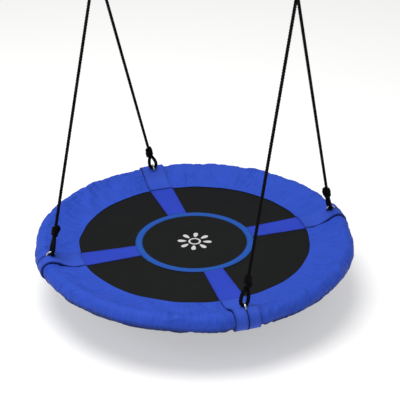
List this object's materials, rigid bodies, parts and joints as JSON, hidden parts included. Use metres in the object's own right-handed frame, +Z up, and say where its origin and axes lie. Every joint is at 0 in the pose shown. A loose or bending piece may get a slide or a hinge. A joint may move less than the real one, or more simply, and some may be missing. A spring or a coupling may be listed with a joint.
{
  "type": "saucer swing",
  "caption": "Round saucer swing: padded fabric seat on a tubular steel rim, hung from snap hooks by ropes in pairs that lean in towards the hang axis.",
  "frame": {"origin": "on the hang axis, midway between the two points where beam hooks carry the snap hooks", "axes": "+X from the left rope pair to the right one, +Y the direction the seat swings in, +Z up"},
  "size_m": [1, 1, 1.0578],
  "materials": {
    "blue_fabric": "woven, coated",
    "flap_fabric": "woven, coated",
    "hub_ring_fabric": "webbing",
    "black_fabric": "woven, matt",
    "hub_fabric": "woven, matt",
    "black_rope": "twisted rope",
    "foam": "closed-cell foam",
    "hook_and_loop": "hook-and-loop tape",
    "tube_steel": "powder coated",
    "zinc_steel": "zinc plated"
  },
  "bodies": {
    "hangers": {"snap_hook_left": "zinc_steel", "snap_hook_right": "zinc_steel", "gate_pin_left": "zinc_steel", "gate_pin_right": "zinc_steel"},
    "gate_left": {"hook_gate_left": "zinc_steel"},
    "gate_right": {"hook_gate_right": "zinc_steel"},
    "left_ring": {"top_ring_left": "zinc_steel"},
    "left_ropes": {"rope_front_left": "black_rope", "rope_loop_front_left": "black_rope", "rope_knot_front_left": "black_rope", "rope_back_left": "black_rope", "rope_loop_back_left": "black_rope", "rope_knot_back_left": "black_rope", "top_knot_left": "black_rope", "top_loop_left": "black_rope"},
    "seat": {"frame_tube_front_left": "tube_steel", "frame_tube_back_left": "tube_steel", "frame_tube_front_right": "tube_steel", "frame_tube_back_right": "tube_steel", "foam_sleeve_front_left": "foam", "foam_sleeve_back_left": "foam", "foam_sleeve_front_right": "foam", "foam_sleeve_back_right": "foam", "eye_bolt_front_left": "zinc_steel", "eye_bolt_back_left": "zinc_steel", "eye_bolt_front_right": "zinc_steel", "eye_bolt_back_right": "zinc_steel", "eye_washer_front_left": "zinc_steel", "eye_washer_back_left": "zinc_steel", "eye_washer_front_right": "zinc_steel", "eye_washer_back_right": "zinc_steel", "eye_nut_front_left": "zinc_steel", "eye_nut_back_left": "zinc_steel", "eye_nut_front_right": "zinc_steel", "eye_nut_back_right": "zinc_steel", "hanging_flap_front_left": "flap_fabric", "hanging_flap_back_left": "flap_fabric", "hanging_flap_front_right": "flap_fabric", "hanging_flap_back_right": "flap_fabric", "spoke_front_left": "blue_fabric", "spoke_back_left": "blue_fabric", "spoke_front_right": "blue_fabric", "spoke_back_right": "blue_fabric", "rim_cover": "blue_fabric", "closure_band": "hook_and_loop", "seat_mat": "black_fabric", "hub_ring": "hub_ring_fabric", "hub_disc": "hub_fabric"},
    "right_ropes": {"rope_front_right": "black_rope", "rope_loop_front_right": "black_rope", "rope_knot_front_right": "black_rope", "rope_back_right": "black_rope", "rope_loop_back_right": "black_rope", "rope_knot_back_right": "black_rope", "top_knot_right": "black_rope", "top_loop_right": "black_rope"},
    "right_ring": {"top_ring_right": "zinc_steel"}
  },
  "joints": [
    {"name": "swing", "type": "hinge", "parent": "hangers", "child": "left_ring", "pos_m": [-0.32432, 0, -0.068], "axis": [1, 0, 0], "range_deg": [-45, 45]},
    {"name": "side_sway", "type": "hinge", "parent": "left_ring", "child": "left_ropes", "pos_m": [-0.32432, 0, -0.0997], "axis": [0, 1, 0], "range_deg": [-20, 20]},
    {"name": "seat_level", "type": "hinge", "parent": "left_ropes", "child": "seat", "pos_m": [-0.32432, 0, -0.98045], "axis": [0, 1, 0], "range_deg": [-20, 20]},
    {"name": "right_ropes_lean", "type": "hinge", "parent": "seat", "child": "right_ropes", "pos_m": [0.32432, 0, -0.98045], "axis": [0, 1, 0], "range_deg": [-20, 20]},
    {"name": "right_ring_level", "type": "hinge", "parent": "right_ropes", "child": "right_ring", "pos_m": [0.32432, 0, -0.0997], "axis": [0, 1, 0], "range_deg": [-20, 20]},
    {"name": "gate_left", "type": "hinge", "parent": "hangers", "child": "gate_left", "pos_m": [-0.34032, 0, -0.0445], "axis": [0, 1, 0], "range_deg": [0, 22], "stiffness_Nm_per_rad": 0.1, "springref_deg": -28.65},
    {"name": "gate_right", "type": "hinge", "parent": "hangers", "child": "gate_right", "pos_m": [0.34032, 0, -0.0445], "axis": [0, -1, 0], "range_deg": [0, 22], "stiffness_Nm_per_rad": 0.1, "springref_deg": -28.65}
  ],
  "couplings": [
    {"joint": "seat_level", "follows": "side_sway", "ratio": -1},
    {"joint": "right_ropes_lean", "follows": "side_sway", "ratio": 1},
    {"joint": "right_ring_level", "follows": "side_sway", "ratio": -1}
  ]
}
